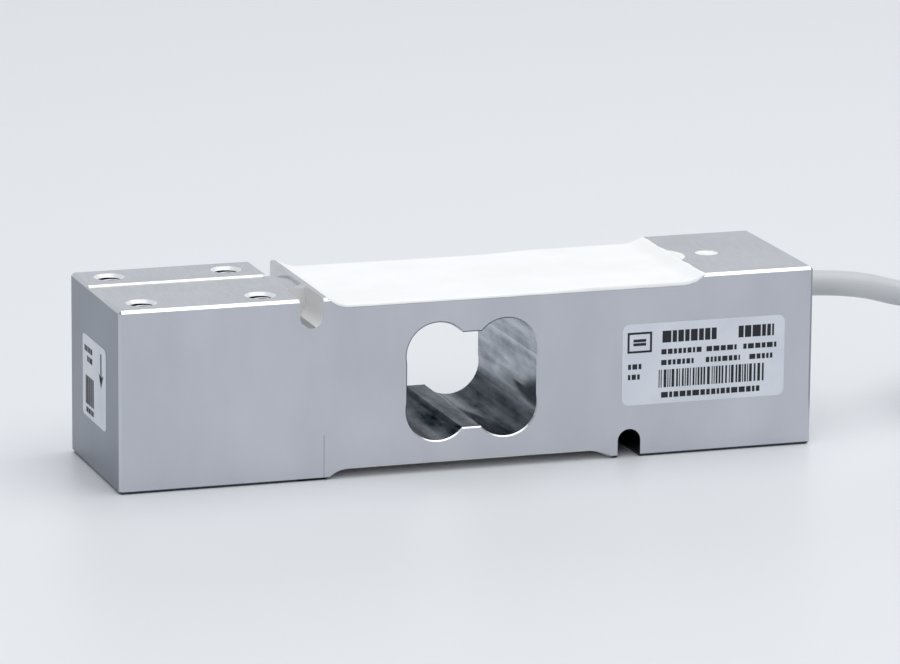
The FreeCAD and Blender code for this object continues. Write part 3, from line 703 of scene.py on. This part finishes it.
endFacts = {
    "end": (216.0, 2.6, 3.3),  # of the jacket
    "before": (196.5, 4.6, 3.3),
    "sleeveLength": 9.0,
    "sleeveRadius": 3.2,
    "sleeveMouth": [(0, 2.7), (0, 3.05), (0.15, 3.2)],  # distance and radius
    "sleeveWaves": (12, 0.05, 2.1),  # steps, depth, and a step's share of a wave in radians
    "sleeveLip": [(9.0, 3.15), (9.8, 2.65), (9.8, 2.25), (9.05, 2.4), (9.05, 2.7)],
    "ring": 1.2,  # of the conductors' middles round the cable's middle
    "conductor": 1.0,  # diameter, as the next two
    "spread": 3.6,  # between neighbours past the second bend
    "fan": 1.15,  # how much wider they are spread at their ends
    "bends": (0.36, 0.72),  # as shares of the length
    "length": 24.0,
    "ferrule": 1.3,
    "shield": 0.9,
    "ferruleProfile": [  # distance and radius of a tube that is crimped in two bands
        (0, 0.4875), (0, 0.65), (0.25, 0.65), (0.6, 0.65), (1.2, 0.65), (1.8, 0.55),
        (2.4, 0.55), (3.0, 0.65), (3.6, 0.55), (4.2, 0.55), (4.8, 0.65), (5.4, 0.65),
        (5.95, 0.65), (6, 0.59), (6, 0.468), (5.75, 0.455),
    ],
    "shieldShare": 0.8,  # of the conductors' length
    "shieldTwist": 5.0,  # turns along the pigtail
    "shieldLobes": 5,
    "shieldGroove": 0.72,  # of the radius, between the lobes
}


def endLine(facts):
    # where the jacket ends, and which way it points there
    end = Vector(facts["end"])
    return end, (end - Vector(facts["before"])).normalized()


def endPoint(facts, forward, across, height):
    end, ahead = endLine(facts)
    place = end + ahead * forward + Vector((-ahead.y, ahead.x, 0)) * across
    return (place.x, place.y, height)


def freePoints(facts, y, z, goal, rest, length):
    start = facts["end"][2] + z
    first, second = facts["bends"]
    return [
        endPoint(facts, 0, y, start),
        endPoint(facts, length * first, (y + goal) / 2, (start + rest) / 2),
        endPoint(facts, length * second, goal, rest),
        endPoint(facts, length, goal * facts["fan"], rest),
    ]


def turnedRings(start, ahead, profile, steps):
    # rings round a straight line, from (distance, radius) pairs
    start, ahead = Vector(start), Vector(ahead).normalized()
    across = ahead.cross(Vector((0, 0, 1))).normalized()
    up = across.cross(ahead)
    rings = []
    for distance, radius in profile:
        ring = []
        for k in range(steps):
            turn = 2 * math.pi * k / steps
            out = across * math.cos(turn) + up * math.sin(turn)
            ring.append(tuple(start + ahead * distance + out * radius))
        rings.append(ring)
    return rings


def makeSleeve(facts):
    # shrunk tight over the jacket, with slight waves and a lip that closes in past its end
    end, ahead = endLine(facts)
    length = facts["sleeveLength"]
    steps, depth, turn = facts["sleeveWaves"]
    profile = list(facts["sleeveMouth"])
    for k in range(1, steps):
        dent = depth * (1 + math.cos(k * turn))
        profile.append((length * k / steps, facts["sleeveRadius"] - dent))
    profile += facts["sleeveLip"]
    rings = turnedRings(end - ahead * length, ahead, profile, steps=28)
    return solidMesh("shrinkSleeve", *skin(rings, closed=True), sharpAngle=50)


def makeConductors(facts):
    # four conductors leave the jacket on a ring and fan out side by side
    made = []
    places = []
    for number in range(4):
        turn = math.radians(45 + 90 * number)
        places.append((facts["ring"] * math.cos(turn), facts["ring"] * math.sin(turn)))
    shades = ("White", "Black", "Red", "Blue")
    for number, ((y, z), shade) in enumerate(zip(sorted(places), shades)):
        goal = (number - 1.5) * facts["spread"]
        route = freePoints(facts, y, z, goal, facts["ferrule"] / 2, facts["length"])
        name = "conductor" + shade
        data = smoothCurve(name, route, facts["conductor"], resolution=10, roundness=4)
        made.append(linkPiece(name, data, "insulation" + shade))
        made.append(makeFerrule(facts, "ferrule" + shade, route))
    return made


def makeFerrule(facts, name, route):
    # slipped over the strands, whose ends just show
    end = Vector(route[-1])
    rings = turnedRings(end, end - Vector(route[-2]), facts["ferruleProfile"], steps=16)
    data = solidMesh(name, *skin(rings), sharpAngle=50)
    return linkPiece(name, data, "tinnedCopper")


def startTree(name, inputs):
    tree = bpy.data.node_groups.new(name, "GeometryNodeTree")
    tree.interface.new_socket("Geometry", in_out="INPUT", socket_type="NodeSocketGeometry")
    for given in inputs:
        tree.interface.new_socket(given, in_out="INPUT", socket_type="NodeSocketFloat")
    tree.interface.new_socket("Geometry", in_out="OUTPUT", socket_type="NodeSocketGeometry")
    return tree, addNode(tree, "NodeGroupInput").outputs


def endTree(tree, made, material):
    real = addNode(tree, "GeometryNodeRealizeInstances", {0: made}).outputs[0]
    coated = {"Geometry": real, "Material": material}
    coated = addNode(tree, "GeometryNodeSetMaterial", coated).outputs[0]
    addNode(tree, "NodeGroupOutput", {"Geometry": coated})
    return tree


def pigtailTree(facts, material):
    # a twisted bundle of strands along a curve: a lobed section that turns as it goes
    tree, given = startTree("pigtail", ("Radius", "Turns", "Groove"))
    fine = {"Curve": given["Geometry"], "Count": 60}
    fine = addNode(tree, "GeometryNodeResampleCurve", fine).outputs[0]
    along = addNode(tree, "GeometryNodeSplineParameter").outputs["Factor"]
    turns = {"operation": "MULTIPLY", 0: given["Turns"], 1: 2 * math.pi}
    turns = addNode(tree, "ShaderNodeMath", turns).outputs[0]
    tilt = addNode(tree, "ShaderNodeMath", {"operation": "MULTIPLY", 0: along, 1: turns}).outputs[0]
    tilted = addNode(tree, "GeometryNodeSetCurveTilt", {"Curve": fine, "Tilt": tilt}).outputs[0]
    groove = {"operation": "MULTIPLY", 0: given["Radius"], 1: given["Groove"]}
    groove = addNode(tree, "ShaderNodeMath", groove).outputs[0]
    lobes = {
        "Points": facts["shieldLobes"],
        "Inner Radius": groove,
        "Outer Radius": given["Radius"],
    }
    lobes = addNode(tree, "GeometryNodeCurveStar", lobes).outputs[0]
    solid = {"Curve": tilted, "Profile Curve": lobes, "Fill Caps": True}
    return endTree(tree, addNode(tree, "GeometryNodeCurveToMesh", solid).outputs[0], material)


def grownMesh(name, source, tree, values):
    # runs a geometry tree on a curve or mesh and keeps the plain mesh that it makes
    grower = addObject(name + "Grower", source)
    modifier = grower.modifiers.new("grow", "NODES")
    modifier.node_group = tree
    for item in tree.interface.items_tree:
        if item.in_out == "INPUT" and item.name in values:
            modifier[item.identifier] = values[item.name]
    bpy.context.view_layer.update()
    graph = bpy.context.evaluated_depsgraph_get()
    data = bpy.data.meshes.new_from_object(grower.evaluated_get(graph), depsgraph=graph)
    data.name = name
    bpy.data.objects.remove(grower)
    return data


def makePigtail(facts):
    rest = facts["shield"] / 2
    route = freePoints(facts, 0, 0, 0, rest, facts["length"] * facts["shieldShare"])
    source = smoothCurve("pigtailRoute", route, diameter=0, resolution=12, roundness=0)
    values = {"Radius": rest / 1000, "Turns": facts["shieldTwist"], "Groove": facts["shieldGroove"]}
    data = grownMesh("shieldPigtail", source, pigtailTree(facts, finishes["tinnedCopper"]), values)
    return linkPiece("shieldPigtail", data, "tinnedCopper")


sleeve = linkPiece("shrinkSleeve", makeSleeve(endFacts), "shrunkPolyolefin")
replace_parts(sleeve, "jacket_end_sleeve")
conductors = makeConductors(endFacts)
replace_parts(conductors[0], "free_conductors")
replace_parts(conductors[1], "conductor_ferrules")
pigtail = makePigtail(endFacts)
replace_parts(pigtail, "shield_pigtail")
print("cable end made")


# coatings on the strain gauges

coatFacts = {
    "floor": 35.85,  # of the recess
    "depth": 2.25,
    "top": 38.1,
    "cornerRadius": 7.0,
    "start": -31.2,
    "coats": [  # name, node, end, thickness there, half width and seed, and whether it lies below
        ("upperCoat", "upper_coating", 51.1, 1.02, 18.93, 1, False),
        ("lowerCoat", "lower_coating", 31.2, 0.66, 17.88, 2, True),
    ],
    "thickness": 0.66,
    "riseFrom": 12.0,
    "riseTo": 28.0,
    "rim": 0.55,  # width of the rounded rim along the sides
    "rimShare": 0.1,  # of the thickness, that the rim starts from
    "least": 0.01,  # thickness anywhere
    "lip": 2.6,  # length over which the coating thins at its ends
    "lipThickness": 0.12,
    "wander": 0.3,  # of the ends' line
    "wanderSize": 3.5,
    "sideWander": 0.1,
    "sideWanderCount": 20,
    "waves": 0.08,
    "waveSize": (16, 12),
    "topGap": 0.005,  # to the pads' height
    "clearance": 0.02,
    "steps": 150,
    "crowding": 0.35,  # of the steps towards the ends
    "across": 36,
}


def steadyNoise(x, y, seed):
    return noise.noise(Vector((x, y, seed * 7.31)))


def recessFloor(facts, x, start, end):
    # level, and rounded up to the pads at both ends
    radius, depth = facts["cornerRadius"], facts["depth"]
    run = math.sqrt(2 * radius * depth - depth ** 2)
    past = max(start + run - x, x - (end - run), 0)
    return facts["floor"] + radius - math.sqrt(radius ** 2 - min(past, run) ** 2)


def coatThickness(facts, x, y, start, end, thickEnd):
    share = (x - facts["riseFrom"]) / (facts["riseTo"] - facts["riseFrom"])
    share = min(max(share, 0), 1)
    share = share * share * (3 - 2 * share)
    thickness = facts["thickness"] + (thickEnd - facts["thickness"]) * share
    long, wide = facts["waveSize"]
    thickness += facts["waves"] * steadyNoise(x / long, y / wide, 1)
    toEnd = min(max(min(x - start, end - x) / facts["lip"], 0), 1)
    thin = facts["lipThickness"]
    return thin + (thickness - thin) * math.sqrt(1 - (1 - toEnd) ** 2)


def coatSkin(facts, end, thickEnd, halfWidth, seed):
    rings = []
    crowding, wander, size = facts["crowding"], facts["wander"], facts["wanderSize"]
    for i in range(facts["steps"] + 1):
        share = i / facts["steps"]
        ease = share - crowding * math.sin(4 * math.pi * share) / (4 * math.pi)
        top, bottom = [], []
        for k in range(facts["across"] + 1):
            turn = math.pi * k / facts["across"]
            across = -math.cos(turn)  # closer together at the sides
            sideNoise = steadyNoise(ease * facts["sideWanderCount"], across, seed + 2)
            sideEnd = halfWidth - facts["sideWander"] * (0.5 + sideNoise)
            y = across * sideEnd
            left = facts["start"] + wander * (0.5 + 0.5 * steadyNoise(y / size, seed, 4))
            right = end - wander * (0.5 + 0.5 * steadyNoise(y / size, seed, 5))
            x = left + (right - left) * ease
            floorHeight = recessFloor(facts, x, facts["start"], end) + facts["clearance"]
            depth = coatThickness(facts, x, y, left, right, thickEnd)
            toSide = min((sideEnd - abs(y)) / facts["rim"], 1)
            rim = facts["rimShare"]
            depth *= math.sqrt(max(1 - (1 - toSide) ** 2, 0)) * (1 - rim) + rim
            height = min(floorHeight + depth, facts["top"] - facts["topGap"])
            top.append((x, y, max(height, floorHeight + facts["least"])))
            bottom.append((x, y, floorHeight))
        rings.append(bottom + top[::-1])
    return skin(rings)


def makeCoat(facts, name, node, end, thickEnd, halfWidth, seed, below):
    points, faces = coatSkin(facts, end, thickEnd, halfWidth, seed)
    if below:  # the lower recess is the upper one turned half way round about Y
        points = [(-x, y, facts["top"] - z) for x, y, z in points]
    data = solidMesh(name, points, faces, sharpAngle=60)
    piece = linkPiece(name, data, "pouredSilicone")
    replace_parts(piece, node)


for coat in coatFacts["coats"]:
    makeCoat(coatFacts, *coat)
print("coatings poured")


# the sloping edges that the cutter leaves along the channel's floor

channelFacts = {
    "half": 6.5,
    "floor": 37.6,
    "rise": 0.34,  # of the slope, which is as wide as it is high
    "start": -74.5,
    "end": -37.1,
    "sunk": 0.03,  # in the bar
    "hollow": 0.03,
}


def makeChannelEdges(facts):
    wall, low, rise = facts["half"], facts["floor"], facts["rise"]
    sunk, hollow = facts["sunk"], facts["hollow"]
    outline = [
        (wall - rise, low - sunk),
        (wall - rise, low),
        (wall - rise / 2 + hollow, low + rise / 2 - hollow),
        (wall, low + rise),
        (wall + sunk, low + rise),
        (wall + sunk, low - sunk),
    ]
    ends = (facts["start"], facts["end"])
    parts = []
    for side in (-1, 1):
        parts.append(skin([[(x, side * y, z) for y, z in outline] for x in ends]))
    data = solidMesh("channelEdges", *joinParts(parts), sharpAngle=10)
    linkPiece("channelEdges", data, "milledAluminium")


makeChannelEdges(channelFacts)
print("channel edges cut")


# threads in the pads

threadFacts = {
    "places": [(-68.5, -12.5), (-43.5, -12.5), (-68.5, 12.5), (-43.5, 12.5)],
    "bore": 5.0,
    "pitch": 1.0,
    "ridge": 0.42,  # thickness of the drawn thread ridge, half sunk in the wall
    "from": 1.0,  # below the pad's face
    "length": 13.0,
    "height": 38.1,
}


def threadTree(material):
    # a helix of ridge for each point of the mesh
    tree, given = startTree("thread", ("Radius", "Length", "Turns", "Ridge"))
    helix = {
        "Resolution": 28,
        "Rotations": given["Turns"],
        "Start Radius": given["Radius"],
        "End Radius": given["Radius"],
        "Height": given["Length"],
    }
    helix = addNode(tree, "GeometryNodeCurveSpiral", helix).outputs[0]
    section = {"Resolution": 6, "Radius": given["Ridge"]}
    section = addNode(tree, "GeometryNodeCurvePrimitiveCircle", section).outputs[0]
    ridge = {"Curve": helix, "Profile Curve": section, "Fill Caps": True}
    ridge = addNode(tree, "GeometryNodeCurveToMesh", ridge).outputs[0]
    placed = {"Points": given["Geometry"], "Instance": ridge}
    return endTree(tree, addNode(tree, "GeometryNodeInstanceOnPoints", placed).outputs[0], material)


def makeThreads(facts):
    starts = []
    for x, y in facts["places"]:
        starts.append(metres(x, y, facts["height"] - facts["from"] - facts["length"]))
        starts.append(metres(-x, y, facts["from"]))
    source = bpy.data.meshes.new("threadStarts")
    source.from_pydata(starts, [], [])
    values = {
        "Radius": facts["bore"] / 2000,
        "Length": facts["length"] / 1000,
        "Turns": facts["length"] / facts["pitch"],
        "Ridge": facts["ridge"] / 2000,
    }
    data = grownMesh("padThreads", source, threadTree(finishes["milledAluminium"]), values)
    data.shade_smooth()
    linkPiece("padThreads", data, "milledAluminium")


makeThreads(threadFacts)
print("threads cut")


# labels

ratingFacts = {
    "turn": ((1, 0, 0), (0, 0, -1), (0, 1, 0)),  # onto the bar's near side
    "out": 19.05,
    "centre": (50.7, 19.7),
    "size": (36.0, 17.2),
    "corner": 1.5,
    "lines": [  # in place of words: start, end, middle's height, thickness and usual dash
        (41.5, 53.5, 25.3, 2.5, 1.3),
        (58.4, 66.3, 25.3, 2.5, 1.3),
        (41.3, 50.5, 22.1, 1.1, 0.9),
        (51.3, 58.5, 22.1, 1.1, 0.9),
        (59.5, 66.9, 22.1, 1.1, 0.9),
        (41.3, 48.5, 19.8, 1.1, 0.9),
        (51.2, 58.8, 19.8, 1.1, 0.9),
        (60.9, 66.3, 19.8, 1.1, 0.9),
        (34.0, 37.3, 19.3, 1.1, 0.9),
        (34.0, 36.6, 17.1, 1.1, 0.9),
        (41.4, 63.8, 12.9, 1.2, 1.0),
    ],
    "frame": (33.8, 39.2, 22.2, 26.6, 0.45),  # start, end, foot, top and line of a plain box
    "frameBars": (1.3, 1.5, 0.6),  # inset at their ends, from the box's foot and top, and thickness
    "bars": (40.8, 64.4, 14.5, 18.3),  # start, end, foot and top of a row of upright bars
    "barWidths": (0.22, 0.22, 0.4, 0.6),
    "barGaps": (0.24, 0.24, 0.42),
    "seed": 4,
}
directionFacts = {
    "turn": ((0, 0, -1), (1, 0, 0), (0, 1, 0)),  # onto its load end, the print's X along Y
    "out": 75.0,
    "centre": (0.15, 19.15),
    "size": (18.1, 17.1),
    "corner": 1.2,
    "bars": (0.5, 6.9, 13.3, 19.3),
    "barWidths": (0.5, 0.8, 1.2),
    "barGaps": (0.26, 0.3),
    "lines": [(0.6, 6.8, 12.1, 1.1, 1.0), (1.6, 7.6, 24.9, 1.2, 1.3), (1.6, 5.6, 22.9, 1.2, 1.3)],
    "arrow": (-5.3, 19.0, 26.2, 0.85),  # place, tip, tail and line
    "arrowHead": (3.0, 1.86, 2.16, 1.2),  # length, half width, notch, and where the line starts
    "seed": 9,
}
printFacts = {
    "film": 0.1,
    "softRim": 0.03,
    "sunk": 0.01,  # the ink in the film
    "ink": 0.02,
    "gap": 0.3,
    "dashes": (0.55, 1.5),  # shortest and longest, as shares of the usual one
    "leastBar": 0.2,
}


def labelPlate(facts):
    # a thin film with rounded corners and a slightly softened rim, flat on XY
    halfLong, halfWide = facts["size"][0] / 2, facts["size"][1] / 2
    film, soft = printFacts["film"], printFacts["softRim"]
    rings = []
    for height, inset in ((0.0, 0.0), (film - soft, 0.0), (film, soft)):
        a, b = halfLong - inset, halfWide - inset
        corners = [(a, b), (-a, b), (-a, -b), (a, -b)]
        loop = roundedLoop(corners, facts["corner"] - inset, steps=8)
        rings.append([(x, y, height) for x, y in loop])
    return skin(rings)


def inkShape(outline):
    # a flat shape of ink, slightly sunk in the film
    film = printFacts["film"]
    heights = (film - printFacts["sunk"], film + printFacts["ink"])
    return skin([[(x, y, z) for x, y in outline] for z in heights])


def inkBlock(x0, y0, x1, y1):
    return inkShape([(x0, y0), (x1, y0), (x1, y1), (x0, y1)])


def brokenLine(start, end, middle, thickness, step, draw):
    # dashes of uneven length in place of words
    blocks = []
    x = start
    while x < end - printFacts["gap"]:
        long = min(step * draw.uniform(*printFacts["dashes"]), end - x)
        blocks.append(inkBlock(x, middle - thickness / 2, x + long, middle + thickness / 2))
        x += long + printFacts["gap"]
    return blocks


def barRow(facts, draw):
    # upright bars of uneven width
    start, end, low, high = facts["bars"]
    blocks = []
    x = start
    while x < end - printFacts["leastBar"]:
        wide = min(draw.choice(facts["barWidths"]), end - x)
        blocks.append(inkBlock(x, low, x + wide, high))
        x += wide + draw.choice(facts["barGaps"])
    return blocks


def frameBlocks(facts):
    x0, x1, z0, z1, line = facts["frame"]
    inset, rise, thick = facts["frameBars"]
    return [
        inkBlock(x0, z0, x1, z0 + line),
        inkBlock(x0, z1 - line, x1, z1),
        inkBlock(x0, z0 + line, x0 + line, z1 - line),
        inkBlock(x1 - line, z0 + line, x1, z1 - line),
        inkBlock(x0 + inset, z0 + rise, x1 - inset, z0 + rise + thick),
        inkBlock(x0 + inset, z1 - rise - thick, x1 - inset, z1 - rise),
    ]


def arrowBlocks(facts):
    x, tip, tail, line = facts["arrow"]
    long, half, notch, start = facts["arrowHead"]
    head = [(x, tip), (x + half, tip + long), (x, tip + notch), (x - half, tip + long)]
    return [inkBlock(x - line / 2, tip + start, x + line / 2, tail), inkShape(head)]


def stuckOn(facts, points, x, y):
    # moved by X and Y on the label's own plane, and turned onto the bar
    turn = Matrix(facts["turn"])
    shift = Vector((x, y, facts["out"]))
    return [tuple(turn @ (Vector(point) + shift)) for point in points]


def makeLabel(facts, name, node, ownBlocks):
    draw = random.Random(facts["seed"])
    blocks = barRow(facts, draw) + ownBlocks(facts)
    for line in facts["lines"]:
        blocks += brokenLine(*line, draw)
    points, faces = labelPlate(facts)
    data = solidMesh(name, stuckOn(facts, points, *facts["centre"]), faces, sharpAngle=40)
    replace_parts(linkPiece(name, data, "polyesterFilm"), node)
    points, faces = joinParts(blocks)
    data = solidMesh(name + "Print", stuckOn(facts, points, 0, 0), faces, sharpAngle=35)
    linkPiece(name + "Print", data, "printedInk")


makeLabel(ratingFacts, "ratingLabel", "rating_label", frameBlocks)
makeLabel(directionFacts, "directionLabel", "load_direction_label", arrowBlocks)
print("labels stuck on")


# compound over the clamp screw

sealFacts = {
    "middle": (58.3, 0.0),
    "radius": 2.49,
    "base": 37.0,
    "top": 37.95,
    "sag": 0.25,
    "steps": 10,
    "around": 40,
}


def makeSealPlug(facts):
    x, y = facts["middle"]
    steps, around = facts["steps"], facts["around"]
    rings = []
    profile = [(facts["radius"], facts["base"]), (facts["radius"], facts["top"])]
    for k in range(1, steps):
        share = 1 - k / steps
        profile.append((facts["radius"] * share, facts["top"] - facts["sag"] * (1 - share ** 4)))
    for radius, height in profile:
        turns = [2 * math.pi * k / around for k in range(around)]
        rings.append([(x + radius * math.cos(t), y + radius * math.sin(t), height) for t in turns])
    data = solidMesh("clampSeal", *skin(rings), sharpAngle=60)
    piece = linkPiece("clampSeal", data, "castEpoxy")
    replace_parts(piece, "clamp_screw_seal")


makeSealPlug(sealFacts)
print("clamp sealed")


# studio

studio = {
    "floor": {"Base Color": "#E3E4E5", "Roughness": 0.4},
    "floorHalf": 4,  # metres
    "world": {"Color": "#C6CAD1", "Strength": 0.68},
    "lights": [  # name, place, aim and size in metres, power in watts, shade
        ("overhead", (0.2, -0.15, 1.2), (0.0, 0.0, 0.02), (1.9, 1.6), 14.5, "#FFFFFF"),
        ("backdrop", (0.5, 2.5, 0.75), (0.0, 0.0, 0.02), (4.6, 1.3), 10.5, "#F7F8FF"),
        ("front", (-0.8, -1.4, 0.9), (0.0, 0.0, 0.02), (0.9, 0.9), 5.0, "#EEF3FF"),
    ],
}


def makeFloor():
    data = bpy.data.meshes.new("floor")
    half = studio["floorHalf"]
    corners = [(-half, -half, 0), (half, -half, 0), (half, half, 0), (-half, half, 0)]
    data.from_pydata(corners, [], [(0, 1, 2, 3)])
    data.materials.append(startMaterial("studioFloor", studio["floor"])[0])
    floor = addObject("floor", data)


def makeLight(name, place, aim, size, power, shade):
    data = bpy.data.lights.new(name, "AREA")
    data.shape = "RECTANGLE"
    data.size, data.size_y = size
    data.energy = power
    data.color = colour(shade)[:3]
    light = addObject(name, data)
    light.location = place
    light.rotation_mode = "QUATERNION"
    light.rotation_quaternion = (Vector(aim) - Vector(place)).to_track_quat("-Z", "Y")


def makeWorld():
    world = bpy.data.worlds.new("studio")
    world.use_nodes = True
    tree = world.node_tree
    setNode(tree, tree.nodes["Background"], studio["world"])
    scene.world = world


makeFloor()
makeWorld()
for light in studio["lights"]:
    makeLight(*light)
scene.view_settings.view_transform = "Standard"
print("studio lit")
